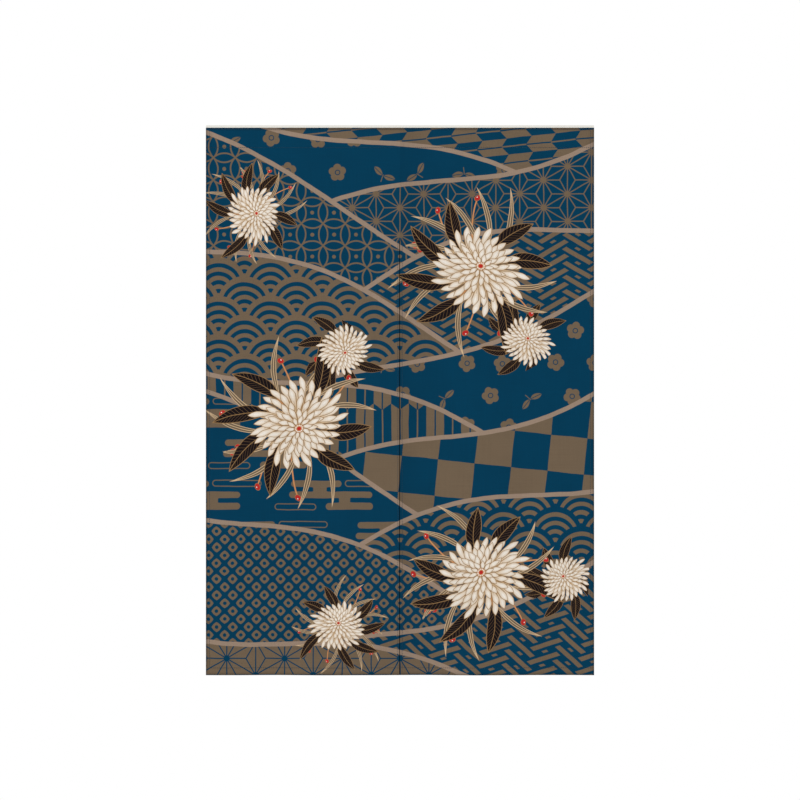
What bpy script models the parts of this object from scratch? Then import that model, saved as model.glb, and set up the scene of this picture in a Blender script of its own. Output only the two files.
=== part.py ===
"""A noren: one printed cloth with a centre slit, hanging from a plain white heading sleeve.

Metres, +Z up. The printed face looks along -Y. The origin is the middle of the heading's top edge,
right above the rod that the sleeve is made for, so everything hangs below z = 0.
"""

import math

import bmesh
import bpy

# Cut sizes
CLOTH_WIDTH = 0.850
DROP = 1.205  # heading's top edge to the hem
HEADING_SHOWS = 0.0065  # white strip above the print
SLIT_START = 0.252  # below the heading's top edge
SLIT_GAP = 0.0008
LIP_SKEW = 0.0016  # how far one lip of the slit tucks behind the other

# Cloth and hems, turned to the back
CLOTH_THICK = 0.0012
HEM_THICK = 0.0022
HEM_STEP = 0.0008
SIDE_HEM = 0.010
LIP_HEM = 0.006
BOTTOM_HEM = 0.018

# Heading sleeve, a flat cotton band folded over the rod and sewn shut below it
SLEEVE_THICK = 0.0012
SLEEVE_RADIUS = 0.009  # outside, over the rod
SLEEVE_DROP = 0.056
SEAM_ALLOWANCE = 0.006  # both layers together, under the stitch line
SEWN_GAP = 0.0003  # between the sleeve and the cloth sewn to its front

# Folds. They start below the sleeve and are deepest at the hem
FLAT_TOP = 0.060
HEM_SETTLE = 0.050  # below the flat top, where the hems sink from the front to the back
LIP_SWING = 0.0022  # the left lip hangs forward and the right lip back, each by this much
LIP_REACH = 0.110  # how far that swing is felt from the slit
LIP_OPENS = 0.300  # below the slit's start, where that swing is full
FOLDS_ACROSS = [
    {"side": "both", "depth": 0.0024, "width": 0.330, "phase": 0.5, "lean": 0.6},
    {"side": "both", "depth": 0.0011, "width": 0.171, "phase": 2.2, "lean": -1.4},
    {"side": "left", "depth": 0.0016, "width": 0.236, "phase": 1.1, "lean": 0.9},
    {"side": "right", "depth": 0.0019, "width": 0.268, "phase": 4.0, "lean": -0.7},
]

# Mesh fineness
COLUMNS_PER_TAIL = 15
ROWS_ABOVE_SLIT = 5
ROWS_BELOW_SLIT = 16
ARC_STEPS = 12
BACK_STEPS = 8
SHARP_ANGLE = math.radians(35)

PRINT_BLUE = (0.010, 0.045, 0.083, 1.0)
COTTON_WHITE = (0.76, 0.75, 0.72, 1.0)


def smooth(t):
    """Eases from 0 to 1 as t goes from 0 to 1."""
    t = min(max(t, 0.0), 1.0)
    return t * t * (3.0 - 2.0 * t)


def evenly(start, end, steps):
    """The points that cut start to end into equal steps, both ends included."""
    return [start + (end - start) * i / steps for i in range(steps + 1)]


def fabric(name, colour):
    """A matt cloth material."""
    material = bpy.data.materials.new(name)
    material.use_nodes = True
    shader = material.node_tree.nodes["Principled BSDF"]
    shader.inputs["Base Color"].default_value = colour
    shader.inputs["Roughness"].default_value = 0.9
    shader.inputs["Metallic"].default_value = 0.0
    return material


def finished(name, mesh_builder, material):
    """Turns a bmesh into a named object with its faces pointing out."""
    bmesh.ops.recalc_face_normals(mesh_builder, faces=mesh_builder.faces)
    mesh = bpy.data.meshes.new(name)
    mesh_builder.to_mesh(mesh)
    mesh_builder.free()
    mesh.shade_smooth()
    mesh.set_sharp_from_angle(angle=SHARP_ANGLE)
    mesh.materials.append(material)
    piece = bpy.data.objects.new(name, mesh)
    bpy.context.scene.collection.objects.link(piece)
    return piece


def fold_depth(x, z):
    """How far back the hanging cloth lies at x and z, from its gentle upright folds."""
    below_sleeve = smooth((-z - FLAT_TOP) / (DROP - FLAT_TOP))
    below_slit = smooth((-z - SLIT_START) / (DROP - SLIT_START))
    share = {
        "both": below_sleeve,
        "left": below_slit if x < 0 else 0.0,
        "right": below_slit if x > 0 else 0.0,
    }
    depth = 0.0
    for fold in FOLDS_ACROSS:
        turn = 2 * math.pi * x / fold["width"] + fold["phase"] + fold["lean"] * z
        depth += share[fold["side"]] * fold["depth"] * math.cos(turn)
    return depth


def lip_swing(x, z):
    """How far back the cloth near the slit lies: the left lip comes forward, the right goes back."""
    opened = smooth((-z - SLIT_START) / LIP_OPENS)
    near = smooth(1.0 - abs(x) / LIP_REACH)
    return math.copysign(LIP_SWING * opened * near, x)


def cloth_columns():
    """The x of each column of cloth points, left to right, with extra ones at the hems."""
    side, lip = CLOTH_WIDTH / 2, SLIT_GAP / 2
    tail = evenly(LIP_HEM + HEM_STEP, side - SIDE_HEM - HEM_STEP, COLUMNS_PER_TAIL)
    right = [lip, LIP_HEM, *tail, side - SIDE_HEM, side]
    return [-x for x in reversed(right)] + right


def cloth_rows():
    """The z of each row of cloth points, top to bottom, with extra ones at the slit's end and hem."""
    upper = evenly(-HEADING_SHOWS, -SLIT_START, ROWS_ABOVE_SLIT)
    lower = evenly(-SLIT_START - HEM_STEP, -DROP + BOTTOM_HEM + HEM_STEP, ROWS_BELOW_SLIT)
    return upper + lower + [-DROP + BOTTOM_HEM, -DROP]


def thickness(x, z):
    """One layer of cloth, or a turned hem along the sides, the foot and the slit."""
    tiny = HEM_STEP / 4
    at_side = abs(x) > CLOTH_WIDTH / 2 - SIDE_HEM - tiny
    at_foot = z < -DROP + BOTTOM_HEM + tiny
    at_slit = abs(x) < LIP_HEM + tiny and z < -SLIT_START - tiny
    return HEM_THICK if at_side or at_foot or at_slit else CLOTH_THICK


def cloth_points(x, z):
    """The front and back point of the cloth at x and z. Against the sleeve the back is the flat
    side, so a hem stands proud in front there, and lower down it lies behind."""
    front = -SLEEVE_RADIUS - SEWN_GAP - CLOTH_THICK + fold_depth(x, z)
    pressed = 1.0 - smooth((-z - FLAT_TOP) / HEM_SETTLE)
    front -= pressed * (thickness(x, z) - CLOTH_THICK)
    tuck = 0.0
    if z <= -SLIT_START:
        front += lip_swing(x, z)
        if abs(x) < SLIT_GAP:
            tuck = LIP_SKEW
    return (x, front, z), (x - tuck, front + thickness(x, z), z)


def printed_cloth(material):
    """The one-piece cloth: a yoke above the slit and two tails below it, hems turned to the back."""
    columns, rows = cloth_columns(), cloth_rows()
    slit_column = len(columns) // 2 - 1
    slit_row = rows.index(-SLIT_START)
    shape = bmesh.new()
    front, back = {}, {}
    for i, x in enumerate(columns):
        for j, z in enumerate(rows):
            at_front, at_back = cloth_points(x, z)
            front[i, j] = shape.verts.new(at_front)
            back[i, j] = shape.verts.new(at_back)

    def is_cloth(i, j):
        inside = 0 <= i < len(columns) - 1 and 0 <= j < len(rows) - 1
        return inside and not (i == slit_column and j >= slit_row)

    for i in range(len(columns) - 1):
        for j in range(len(rows) - 1):
            if not is_cloth(i, j):
                continue
            ring = [(i, j), (i, j + 1), (i + 1, j + 1), (i + 1, j)]
            shape.faces.new([front[c] for c in ring])
            shape.faces.new([back[c] for c in reversed(ring)])
            beyond = [(i - 1, j), (i, j + 1), (i + 1, j), (i, j - 1)]
            for k, neighbour in enumerate(beyond):
                if not is_cloth(*neighbour):
                    a, b = ring[k], ring[(k + 1) % 4]
                    shape.faces.new([front[a], back[a], back[b], front[b]])
    loose = [v for v in shape.verts if not v.link_faces]
    bmesh.ops.delete(shape, geom=loose, context="VERTS")
    return finished("printed_cloth", shape, material)


def sleeve_outline(inset):
    """The sleeve's section in Y and Z from the stitch line up the front, over the rod and down the
    back, drawn inset from its outside."""
    radius = SLEEVE_RADIUS - inset
    stitch = -SLEEVE_DROP + SEAM_ALLOWANCE
    back_travel = 2 * (SLEEVE_RADIUS - SLEEVE_THICK)
    outline = [(-radius, stitch)]
    for angle in evenly(math.pi, 0.0, ARC_STEPS):
        outline.append((radius * math.cos(angle), -SLEEVE_RADIUS + radius * math.sin(angle)))
    for t in evenly(0.0, 1.0, BACK_STEPS)[1:]:
        fall = -SLEEVE_RADIUS + (stitch + SLEEVE_RADIUS) * t
        outline.append((radius - back_travel * smooth(t), fall))
    return outline


def heading_sleeve(material):
    """The white sleeve: its section is filled as an end face, and drawn out to the cloth's width."""
    outside, inside = sleeve_outline(0.0), sleeve_outline(SLEEVE_THICK)
    shape = bmesh.new()
    start = -CLOTH_WIDTH / 2
    outer = [shape.verts.new((start, y, z)) for y, z in outside]
    inner = [shape.verts.new((start, y, z)) for y, z in inside[:-1]]
    inner.append(inner[0])
    hem_front = shape.verts.new((start, outside[0][0], -SLEEVE_DROP))
    hem_back = shape.verts.new((start, outside[-1][0], -SLEEVE_DROP))
    end = [shape.faces.new([outer[0], hem_front, hem_back, outer[-1], inner[0]])]
    for k in range(len(outer) - 1):
        ring = [outer[k], inner[k], inner[k + 1], outer[k + 1]]
        end.append(shape.faces.new(ring))
    drawn = bmesh.ops.extrude_face_region(shape, geom=end, use_keep_orig=True)
    moved = [v for v in drawn["geom"] if isinstance(v, bmesh.types.BMVert)]
    bmesh.ops.translate(shape, verts=moved, vec=(CLOTH_WIDTH, 0.0, 0.0))
    return finished("heading_sleeve", shape, material)


def main():
    for old in list(bpy.data.objects):
        bpy.data.objects.remove(old)
    printed_cloth(fabric("printed_cloth", PRINT_BLUE))
    heading_sleeve(fabric("heading_cotton", COTTON_WHITE))


main()
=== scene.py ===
"""Noren doorway curtain: the looks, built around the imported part.

The printed cloth and its white heading sleeve are rebuilt here as fine sheets in the shape of the
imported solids. Shader nodes draw the print, in millimetres of flat cloth. All other lengths are
metres, +Z is up, and the printed face looks along -Y.
"""

import math
from functools import partial, reduce

import bpy
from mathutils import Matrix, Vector, noise


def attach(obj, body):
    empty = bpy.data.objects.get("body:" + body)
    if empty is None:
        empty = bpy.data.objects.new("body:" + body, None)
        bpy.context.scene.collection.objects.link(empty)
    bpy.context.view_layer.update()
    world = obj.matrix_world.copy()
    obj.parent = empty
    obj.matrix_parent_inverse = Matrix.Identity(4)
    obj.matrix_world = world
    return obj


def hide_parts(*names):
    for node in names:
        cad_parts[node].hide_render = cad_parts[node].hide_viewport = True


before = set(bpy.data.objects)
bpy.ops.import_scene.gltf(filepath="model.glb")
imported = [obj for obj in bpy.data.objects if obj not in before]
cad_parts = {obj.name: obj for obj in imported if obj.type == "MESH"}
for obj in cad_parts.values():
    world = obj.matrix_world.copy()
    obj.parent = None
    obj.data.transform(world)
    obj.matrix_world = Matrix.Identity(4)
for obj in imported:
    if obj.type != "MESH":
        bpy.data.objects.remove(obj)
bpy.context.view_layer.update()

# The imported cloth, as its source gives it
CLOTH_WIDTH = 0.850
SIDE = CLOTH_WIDTH / 2
DROP = 1.205
HEADING_SHOWS = 0.0065
SLIT_START = 0.252
CLOTH_THICK = 0.0012
HEM_THICK = 0.0022
HEM_STEP = 0.0008
SIDE_HEM = 0.010
LIP_HEM = 0.006
BOTTOM_HEM = 0.018
SLEEVE_THICK = 0.0012
SLEEVE_RADIUS = 0.009
SLEEVE_DROP = 0.056
SEAM_ALLOWANCE = 0.006
SEWN_GAP = 0.0003
FLAT_TOP = 0.060
HEM_SETTLE = 0.050
LIP_SWING = 0.0009  # less than the solids' own, which keep the tails well apart
LIP_REACH = 0.110
LIP_OPENS = 0.300
FOLDS_ACROSS = [
    {"side": "both", "depth": 0.0024, "width": 0.330, "phase": 0.5, "lean": 0.6},
    {"side": "both", "depth": 0.0011, "width": 0.171, "phase": 2.2, "lean": -1.4},
    {"side": "left", "depth": 0.0016, "width": 0.236, "phase": 1.1, "lean": 0.9},
    {"side": "right", "depth": 0.0019, "width": 0.268, "phase": 4.0, "lean": -0.7},
]

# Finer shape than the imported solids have
LIP_GAP = 0.0003
LIP_TUCK = 0.0016  # the left lip's face over the right lip's back
SLIT_SHIFT = 0.0009  # how far left of the middle the lips meet
LIP_ROUND = 0.0005
LIP_COLUMNS = (0.0022, 0.0040, LIP_HEM)  # from the slit's middle
SIDE_COLUMNS = (SIDE_HEM, 0.0075, 0.0050, 0.0028)  # from the side
FOOT_ROWS = (BOTTOM_HEM, 0.0135, 0.0090, 0.0050)  # from the foot
RIM_STEPS = 4
COLUMN_PITCH = 0.0058
ROW_PITCH = 0.0060
LIMP_DEPTH = 0.0005  # the unevenness of cloth that hangs free
LIMP_SIZE = 0.085
LIMP_STRETCH = 0.55  # it changes more slowly down the cloth
LIMP_GROWS = 0.2  # from the flat top down to where it is full
TAIL_SEED = 3.0
PUCKER_DEPTH = 0.00045  # ripples that the hems' stitches draw in
PUCKER_SIZE = 0.021
PUCKER_REACH = 0.016
PUCKER_SPREAD = 0.4
PUCKER_GROWS = 0.1
FOOT_SEED, SIDE_SEED, LIP_SEED = 1.0, 5.0, 9.0

# The sleeve's band
SLEEVE_TRIM = 0.00006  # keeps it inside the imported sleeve
SLEEVE_END = 0.004
SLEEVE_COLUMN = 0.0062
SLEEVE_ROW = 0.003
ROD_STEPS, BACK_STEPS = 20, 16
RAW_EDGE = 0.55  # what is left of its thickness at the two cut edges
BACK_LAYER = -0.006  # its back layer lies behind this y
RIPPLE_DEPTH = 0.0006  # the back layer is a little slack
RIPPLE_SIZE = 0.03
RIPPLE_STARTS, RIPPLE_GROWS, RIPPLE_ENDS = 0.012, 0.02, 0.012
RIPPLE_SEED = 4.0

# Sewing. Stitch lines are measured from the middle or down from the top
STITCH = {"Stitch Length": 0.0032, "Stitch Gap": 0.0013, "Thread Width": 0.00075, "Thread Height": 0.0005}
SIDE_SEAM = SIDE - 0.0082
LIP_SEAM = 0.0048
FOOT_SEAM = DROP - 0.0160
TOP_SEAM = 0.0105
SLEEVE_SEAM = SLEEVE_DROP - SEAM_ALLOWANCE
SEAM_PITCH = 0.004
HEADING_PITCH = 0.005
THREAD_LIFT = 0.0001
TACK_ROWS = 12
TACK_PITCH = 0.00052
TACK_HALF = 0.0013
TACK_BELOW = 0.0014  # how far the bar tack reaches below the slit's start

# Where each side of the cloth lies in its OFBake UV map: its left edge and width, and its foot and height
BAKED_FACE = (0.005, 0.715)
BAKED_WRONG = (0.735, 0.255)
BAKED_UPRIGHT = (0.005, 0.99)

MM = 1000.0  # millimetres in a metre
NEARLY_NONE = 1e-6


def smooth(t):
    """Eases from 0 to 1 as t goes from 0 to 1."""
    t = min(max(t, 0.0), 1.0)
    return t * t * (3.0 - 2.0 * t)


def evenly(start, end, steps):
    """The points that cut start to end into equal steps, both ends included."""
    return [start + (end - start) * i / steps for i in range(steps + 1)]


def stations(start, end, pitch):
    """Points from start to end about pitch apart."""
    return evenly(start, end, max(1, round(abs(end - start) / pitch)))


def ink(red, green, blue):
    """A colour from its 0 to 255 values on a screen, as Blender mixes it."""
    linear = []
    for value in (red, green, blue):
        value /= 255
        linear.append(value / 12.92 if value <= 0.04045 else ((value + 0.055) / 1.055) ** 2.4)
    return (*linear, 1.0)


# Inks and threads
NAVY = ink(0, 59, 87)
TAUPE = ink(114, 97, 78)
ROSE_TAN = ink(154, 133, 116)
CREAM = ink(243, 236, 226)
PEACH = ink(212, 182, 144)
OLD_GOLD = ink(152, 118, 78)
BLACK = ink(24, 17, 20)
RED = ink(188, 44, 42)
ORANGE = ink(206, 142, 92)
RAW_COTTON = ink(226, 224, 218)
RAW_SHADE = ink(220, 217, 208)
NAVY_THREAD = ink(30, 62, 82)
WHITE_THREAD = ink(236, 234, 228)


# Shape of the hanging cloth


def fold_depth(x, z):
    """How far back the hanging cloth lies at x and z, from its gentle upright folds."""
    below_sleeve = smooth((-z - FLAT_TOP) / (DROP - FLAT_TOP))
    below_slit = smooth((-z - SLIT_START) / (DROP - SLIT_START))
    share = {
        "both": below_sleeve,
        "left": below_slit if x < 0 else 0.0,
        "right": below_slit if x > 0 else 0.0,
    }
    depth = 0.0
    for fold in FOLDS_ACROSS:
        turn = 2 * math.pi * x / fold["width"] + fold["phase"] + fold["lean"] * z
        depth += share[fold["side"]] * fold["depth"] * math.cos(turn)
    return depth


def lip_swing(x, z):
    """The left lip of the slit comes forward and the right lip goes back."""
    opened = smooth((-z - SLIT_START) / LIP_OPENS)
    near = smooth(1.0 - abs(x) / LIP_REACH)
    return math.copysign(LIP_SWING * opened * near, x)


def limpness(x, z):
    """The slight unevenness of cloth that hangs free."""
    free = smooth((-z - FLAT_TOP) / LIMP_GROWS)
    side = 0.0 if z > -SLIT_START else math.copysign(TAIL_SEED, x)
    spot = Vector((x / LIMP_SIZE, side, z / LIMP_SIZE * LIMP_STRETCH))
    return LIMP_DEPTH * free * noise.noise(spot)


def pucker(x, z):
    """Ripples that a sewn hem draws into the cloth beside it."""
    free = smooth((-z - FLAT_TOP) / PUCKER_GROWS)
    foot = abs(-z - FOOT_SEAM)
    side = abs(SIDE_SEAM - abs(x))
    lip = abs(abs(x) - LIP_SEAM) if z < -SLIT_START else 1.0
    side_seed = SIDE_SEED + math.copysign(1, x)
    depth = 0.0
    for away, along, seed in ((foot, x, FOOT_SEED), (side, z, side_seed), (lip, z, LIP_SEED)):
        spot = Vector((along / PUCKER_SIZE, seed, away / PUCKER_REACH * PUCKER_SPREAD))
        depth += PUCKER_DEPTH * noise.noise(spot) * math.exp(-away / PUCKER_REACH)
    return depth * free


def hems_at(x, z):
    """Whether the cloth is turned over at x and z, at its side, at its foot and at its slit."""
    margin = HEM_STEP / 4
    at_side = abs(x) > SIDE - SIDE_HEM - margin
    at_foot = z < -DROP + BOTTOM_HEM + margin
    at_slit = abs(x) < LIP_HEM + margin and z < -SLIT_START - margin
    return at_side, at_foot, at_slit


def thickness(x, z):
    """One layer of cloth, or a turned hem."""
    return HEM_THICK if any(hems_at(x, z)) else CLOTH_THICK


def cloth_front(x, z):
    """The y of the cloth's printed face at x and z."""
    front = -SLEEVE_RADIUS - SEWN_GAP - CLOTH_THICK + fold_depth(x, z)
    pressed = 1.0 - smooth((-z - FLAT_TOP) / HEM_SETTLE)
    front -= pressed * (thickness(x, z) - CLOTH_THICK)
    if z <= -SLIT_START:
        front += lip_swing(x, z)
    return front + limpness(x, z) + pucker(x, z)


def rim(radius):
    """How a turned edge rounds off: how far in from the edge, and the share of its thickness."""
    steps = evenly(0.0, math.pi / 2, RIM_STEPS)
    return [(radius * (1 - math.sin(a)), round(math.cos(a), 9)) for a in steps]


def cloth_columns():
    """Each column's x, its share of thickness at the rim, and whether that rim is a lip's."""
    lip = [(LIP_GAP / 2 + inset, share, True) for inset, share in reversed(rim(LIP_ROUND))]
    tail = stations(LIP_HEM + HEM_STEP, SIDE - SIDE_HEM - HEM_STEP, COLUMN_PITCH)
    turned_over = [SIDE - inset for inset in SIDE_COLUMNS]
    body = [(x, 1.0, False) for x in (*LIP_COLUMNS, *tail, *turned_over)]
    side = [(SIDE - inset, share, False) for inset, share in rim(HEM_THICK / 2)]
    right = lip + body + side
    return [(-x, share, at_lip) for x, share, at_lip in reversed(right)] + right


def cloth_rows():
    """Each row's z and its share of thickness, from the top rim to the foot rim."""
    top = [(-HEADING_SHOWS - inset, share) for inset, share in reversed(rim(CLOTH_THICK / 2))]
    upper = stations(top[-1][0], -SLIT_START, ROW_PITCH)[1:]
    lower = stations(-SLIT_START - HEM_STEP, -DROP + BOTTOM_HEM + HEM_STEP, ROW_PITCH)
    hem = [-DROP + inset for inset in FOOT_ROWS]
    foot = [(-DROP + inset, share) for inset, share in rim(HEM_THICK / 2)]
    return top + [(z, 1.0) for z in upper + lower + hem] + foot


def object_of(name, data):
    """A new object in the scene, at the origin."""
    thing = bpy.data.objects.new(name, data)
    bpy.context.scene.collection.objects.link(thing)
    return thing


def mesh_object(name, points, faces, materials):
    """A smooth mesh object."""
    mesh = bpy.data.meshes.new(name)
    mesh.from_pydata(points, [], faces)
    for material in materials:
        mesh.materials.append(material)
    mesh.validate()
    mesh.shade_smooth()
    return object_of(name, mesh)


def sheet(name, columns, rows, spot, is_cloth, materials):
    """A closed sheet of cloth with a printed side and a wrong side. spot(column, row) gives the
    point on each side, and the two are one where the rim closes. Returns the object and what each
    face is: the printed side, the wrong side or a rim, with its column and row."""
    points, front, back = [], {}, {}
    for i, column in enumerate(columns):
        for j, row in enumerate(rows):
            fore, aft = spot(column, row)
            front[i, j] = back[i, j] = len(points)
            points.append(fore)
            if (Vector(fore) - Vector(aft)).length > NEARLY_NONE:
                back[i, j] = len(points)
                points.append(aft)
    faces, told = [], []

    def add(corners, kind, i, j):
        ring = list(dict.fromkeys(corners))
        if len(ring) > 2:
            faces.append(ring)
            told.append((kind, i, j))

    def cloth_at(i, j):
        return 0 <= i < len(columns) - 1 and 0 <= j < len(rows) - 1 and is_cloth(i, j)

    for i in range(len(columns) - 1):
        for j in range(len(rows) - 1):
            if not cloth_at(i, j):
                continue
            ring = [(i, j), (i, j + 1), (i + 1, j + 1), (i + 1, j)]
            add([front[c] for c in ring], "printed", i, j)
            add([back[c] for c in reversed(ring)], "wrong", i, j)
            for k, beyond in enumerate([(i - 1, j), (i, j + 1), (i + 1, j), (i, j - 1)]):
                if not cloth_at(*beyond):
                    a, b = ring[k], ring[(k + 1) % 4]
                    add([front[a], back[a], back[b], front[b]], "rim", i, j)
    return mesh_object(name, points, faces, materials), told


# Node trees


class Term:
    """A value in a node tree. Arithmetic and comparisons on it add Math nodes to the tree."""

    def __init__(self, socket):
        self.socket = socket
        self.tree = socket.id_data

    __add__ = __radd__ = lambda self, other: maths("ADD", self, other)
    __sub__ = lambda self, other: maths("SUBTRACT", self, other)
    __rsub__ = lambda self, other: maths("SUBTRACT", other, self)
    __mul__ = __rmul__ = lambda self, other: maths("MULTIPLY", self, other)
    __truediv__ = lambda self, other: maths("DIVIDE", self, other)
    __rtruediv__ = lambda self, other: maths("DIVIDE", other, self)
    __gt__ = lambda self, other: maths("GREATER_THAN", self, other)
    __lt__ = lambda self, other: maths("LESS_THAN", self, other)
    __abs__ = lambda self: maths("ABSOLUTE", self)


def plug(value, slot):
    """Links a Term to a socket, or sets the socket to a plain value."""
    if isinstance(value, Term):
        value.tree.links.new(value.socket, slot)
    else:
        slot.default_value = value


def tree_of(values):
    """The node tree of the first Term among some values."""
    return next(v.tree for v in values if isinstance(v, Term))


def placed(tree, kind, settings=None, **inputs):
    """A new node, with its settings, and with its inputs linked or set by name."""
    node = tree.nodes.new(kind)
    for name, value in (settings or {}).items():
        setattr(node, name, value)
    for label, value in inputs.items():
        plug(value, node.inputs[label.replace("_", " ")])
    return node


def worked(tree, kind, settings=None, **inputs):
    """The first output of a new node."""
    return Term(placed(tree, kind, settings, **inputs).outputs[0])


def maths(operation, *values, clamp=False):
    """A Math node."""
    node = placed(tree_of(values), "ShaderNodeMath", {"operation": operation, "use_clamp": clamp})
    for slot, value in zip(node.inputs, values):
        plug(value, slot)
    return Term(node.outputs[0])


sine, cosine, floor = partial(maths, "SINE"), partial(maths, "COSINE"), partial(maths, "FLOOR")


def greatest(*values):
    """The greatest of some values."""
    return reduce(partial(maths, "MAXIMUM"), values)


def least(*values):
    """The least of some values."""
    return reduce(partial(maths, "MINIMUM"), values)


def far(across, up):
    """How far a place is from the origin."""
    return maths("SQRT", across * across + up * up)


def wrapped(value, half):
    """The value folded into -half to half, again and again."""
    return maths("WRAP", value, half, -1 * half)


def fading(distance, reach):
    """1 where distance is 0, evenly down to 0 at reach."""
    return maths("SUBTRACT", 1.0, distance / reach, clamp=True)


BLEED = 0.5  # millimetres over which an ink's edge fades


def inked(distance, reach=0.0):
    """1 where distance is under reach, with an edge that bleeds a little."""
    if isinstance(reach, Term):
        return maths("MULTIPLY_ADD", reach - distance, 1 / BLEED, 0.5, clamp=True)
    return maths("MULTIPLY_ADD", distance, -1 / BLEED, reach / BLEED + 0.5, clamp=True)


def vectors(operation, *values):
    """A Vector Math node. The last value of SCALE is its factor."""
    node = placed(tree_of(values), "ShaderNodeVectorMath", {"operation": operation})
    slots = [node.inputs[0], node.inputs["Scale"]] if operation == "SCALE" else node.inputs
    for slot, value in zip(slots, values):
        plug(value, slot)
    return Term(node.outputs["Value" if operation == "LENGTH" else "Vector"])


def parts(point):
    """The three coordinates of a point."""
    return [Term(out) for out in placed(point.tree, "ShaderNodeSeparateXYZ", Vector=point).outputs]


def across_and_up(point):
    """The two coordinates of a point on the flat cloth."""
    return parts(point)[:2]


def point_at(across, up):
    """The point at two coordinates on the flat cloth."""
    return worked(tree_of((across, up)), "ShaderNodeCombineXYZ", X=across, Y=up)


def polar(point):
    """The angle and distance of a point from the origin."""
    across, up = across_and_up(point)
    return maths("ARCTAN2", up, across), vectors("LENGTH", point)


def turned(point, angle):
    """A point as a drawing that is turned by some angle sees it."""
    return worked(
        point.tree, "ShaderNodeVectorRotate", {"rotation_type": "Z_AXIS"}, Vector=point, Angle=angle
    )


def blend(kind, share, first, second):
    """A Mix node for floats, vectors or colours: first where share is 0, second where it is 1."""
    node = placed(tree_of((share, first, second)), "ShaderNodeMix", {"data_type": kind})
    start = {"FLOAT": 2, "VECTOR": 4, "RGBA": 6}[kind]
    for slot, value in zip((0, start, start + 1), (share, first, second)):
        plug(value, node.inputs[slot])
    return Term(node.outputs[start // 2 - 1])


dyed = partial(blend, "RGBA")  # the first colour, and the second over it by some share


def chance(seed):
    """A number from 0 to 1 that depends on the seed alone."""
    return worked(seed.tree, "ShaderNodeTexWhiteNoise", {"noise_dimensions": "1D"}, W=seed)


def cloudy(point, scale, detail=2.0, output="Fac"):
    """A Noise Texture on the flat cloth."""
    settings = {"noise_dimensions": "2D"}
    node = placed(point.tree, "ShaderNodeTexNoise", settings, Vector=point, Scale=scale, Detail=detail)
    return Term(node.outputs[output])


class Group:
    """A shader node group being built, with named inputs and outputs. A float, a triple or a
    colour as an input's value says what kind of socket it is."""

    kinds = {3: "NodeSocketVector", 4: "NodeSocketColor"}

    def __init__(self, name, inputs, outputs):
        self.tree = bpy.data.node_groups.new(name, "ShaderNodeTree")
        for label, value in inputs.items():
            self.socket(label, "INPUT", value).default_value = value
        for label, value in outputs.items():
            self.socket(label, "OUTPUT", value)
        self.given = self.tree.nodes.new("NodeGroupInput")

    def socket(self, label, way, value):
        kind = "NodeSocketFloat" if isinstance(value, float) else self.kinds[len(value)]
        return self.tree.interface.new_socket(name=label, in_out=way, socket_type=kind)

    def __getitem__(self, label):
        return Term(self.given.outputs[label])

    def give(self, **results):
        placed(self.tree, "NodeGroupOutput", **results)
        lay_out(self.tree)
        return self


def use(tree, group, **values):
    """Places a group in a tree. Returns its outputs by name."""
    settings = {"node_tree": group.tree, "label": group.tree.name}
    node = placed(tree, "ShaderNodeGroup", settings, **values)
    return {out.name: Term(out) for out in node.outputs}


NODE_STEP = (190, -180)


def lay_out(tree):
    """Sets nodes out left to right, in the order in which their values are made."""
    depth, filled = {}, {}
    for node in tree.nodes:
        before = [depth.get(link.from_node.name, 0) for s in node.inputs for link in s.links]
        column = depth[node.name] = 1 + max(before, default=-1)
        row = filled.get(column, 0)
        filled[column] = row + 1
        node.location = (NODE_STEP[0] * column, NODE_STEP[1] * row)


# Traditional repeats. Each drawing takes its group and a place on the flat cloth in millimetres, and
# gives its figure as a mask, 1 on the lighter ink
ORIGIN = (0.0, 0.0, 0.0)
OUT_OF_REACH = 2000.0


def nearest_of_two(point, wide, high):
    """The place of a point seen from the nearest spot of two lattices, wide by high each, the
    second in the middle of the first."""
    most, least_corner = (wide / 2, high / 2, 1.0), (-wide / 2, -high / 2, -1.0)
    first = vectors("WRAP", point, most, least_corner)
    moved = vectors("SUBTRACT", point, (wide / 2, high / 2, 0.0))
    second = vectors("WRAP", moved, most, least_corner)
    closer = vectors("LENGTH", first) > vectors("LENGTH", second)
    return blend("VECTOR", closer, first, second)


def from_dots(angle, radius, dots, out):
    """How far a place is from the nearest of some dots that are set round a circle."""
    folded = wrapped(angle, math.pi / dots)
    return far(cosine(folded) * radius - out, sine(folded) * radius)


def hemp_leaf(g, x, y):
    """Hemp-leaf stars: twelve rays from each spot of a triangular lattice."""
    star = nearest_of_two(point_at(x / g["Side"], y / g["Side"]), math.sqrt(3), 1.0)
    angle, radius = polar(star)
    away = radius * g["Side"]
    ray = abs(sine(wrapped(angle, math.pi / 12))) * away
    return greatest(inked(ray, g["Line"] * 0.5), inked(away, g["Hub"]))


def wave_scales(g, x, y):
    """Sea waves: overlapping scales of rings, each row in front of the one above. The middle of a
    ring climbs by Climb times its radius, and the outermost ring is the rim."""
    reach, climb, half = g["Reach"], g["Climb"], g["Pitch"] * 0.5
    squash = 1.0 - climb * climb
    lowest = maths("CEIL", (y - reach * (climb + 1.0)) / g["Row"])
    spans = []
    for step in range(2):
        row = lowest + step
        rise = y - row * g["Row"]
        over = wrapped(x + row * half, half)
        slant = maths("SQRT", over * over * squash + rise * rise)
        spans.append((slant - climb * rise) / squash)
    span = blend("FLOAT", spans[0] < reach, spans[1], spans[0])
    depth = greatest(reach - g["Rim"] - span, g["Ring"] * -0.5)
    return inked(abs(wrapped(depth + g["Ring"] * 0.5, g["Ring"])), g["Ring"] * 0.5)


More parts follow.
